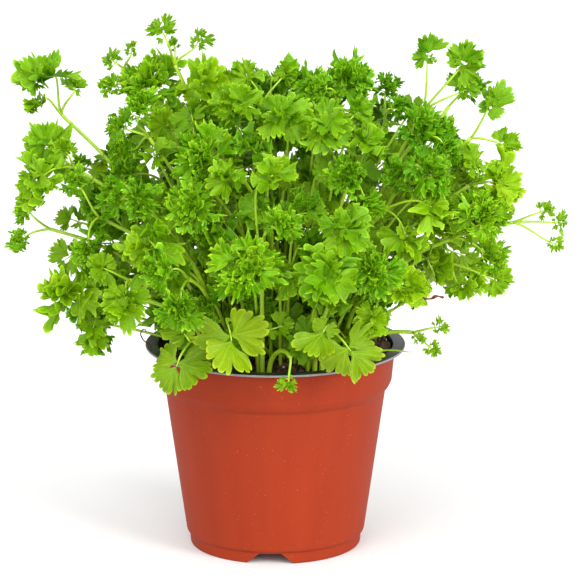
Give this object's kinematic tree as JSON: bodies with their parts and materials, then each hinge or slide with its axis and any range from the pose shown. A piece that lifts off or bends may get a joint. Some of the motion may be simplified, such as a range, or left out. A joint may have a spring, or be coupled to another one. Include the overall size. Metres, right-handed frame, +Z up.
{
  "type": "potted parsley plant",
  "caption": "Bushy curly parsley in a small round plastic nursery pot with soil, standing free on its foot ring.",
  "frame": {"origin": "middle of the object's footprint box on the surface it stands on; the pot's own axis is 7 mm towards -X, because the foliage reaches further towards +X", "axes": "+Z up out of the pot, -Y towards the side seen in the picture, +X to the right of that view"},
  "size_m": [0.2623, 0.2071, 0.2526],
  "materials": {
    "pot": "satin terracotta plastic outside, black inside and on the flange",
    "potting_soil": "moist crumbly peat-based potting soil",
    "curly_leaf": "tightly ruffled mid to deep green leaf, soft sheen",
    "fan_leaf": "half-flat lighter green leaf with radiating veins",
    "young_leaf": "flat yellow-green leaf with a rounded, paler margin",
    "shade_leaf": "flat dark olive leaf, matt",
    "sprig_leaf": "small thin leaf on fine pale stalks"
  },
  "bodies": {
    "root": {"curly_leaf_01": "curly_leaf", "curly_leaf_02": "curly_leaf", "curly_leaf_03": "curly_leaf", "curly_leaf_04": "curly_leaf", "curly_leaf_05": "curly_leaf", "curly_leaf_06": "curly_leaf", "curly_leaf_07": "curly_leaf", "curly_leaf_08": "curly_leaf", "curly_leaf_09": "curly_leaf", "curly_leaf_10": "curly_leaf", "curly_leaf_11": "curly_leaf", "curly_leaf_12": "curly_leaf", "curly_leaf_13": "curly_leaf", "curly_leaf_14": "curly_leaf", "curly_leaf_15": "curly_leaf", "curly_leaf_16": "curly_leaf", "curly_leaf_17": "curly_leaf", "curly_leaf_18": "curly_leaf", "curly_leaf_19": "curly_leaf", "curly_leaf_20": "curly_leaf", "curly_leaf_21": "curly_leaf", "fan_leaf_01": "fan_leaf", "fan_leaf_02": "fan_leaf", "fan_leaf_03": "fan_leaf", "fan_leaf_04": "fan_leaf", "fan_leaf_05": "fan_leaf", "fan_leaf_06": "fan_leaf", "fan_leaf_07": "fan_leaf", "fan_leaf_08": "fan_leaf", "fan_leaf_09": "fan_leaf", "fan_leaf_10": "fan_leaf", "fan_leaf_11": "fan_leaf", "fan_leaf_12": "fan_leaf", "fan_leaf_13": "fan_leaf", "fan_leaf_14": "fan_leaf", "fan_leaf_15": "fan_leaf", "fan_leaf_16": "fan_leaf", "fan_leaf_17": "fan_leaf", "fan_leaf_18": "fan_leaf", "fan_leaf_19": "fan_leaf", "fan_leaf_20": "fan_leaf", "fan_leaf_21": "fan_leaf", "fan_leaf_22": "fan_leaf", "pot": "pot", "potting_soil": "potting_soil", "shade_leaf_01": "shade_leaf", "shade_leaf_02": "shade_leaf", "shade_leaf_03": "shade_leaf", "shade_leaf_04": "shade_leaf", "shade_leaf_05": "shade_leaf", "shade_leaf_06": "shade_leaf", "sprig_leaf_01": "sprig_leaf", "sprig_leaf_02": "sprig_leaf", "sprig_leaf_03": "sprig_leaf", "sprig_leaf_04": "sprig_leaf", "sprig_leaf_05": "sprig_leaf", "young_leaf_01": "young_leaf", "young_leaf_02": "young_leaf", "young_leaf_03": "young_leaf", "young_leaf_04": "young_leaf"}
  },
  "joints": []
}
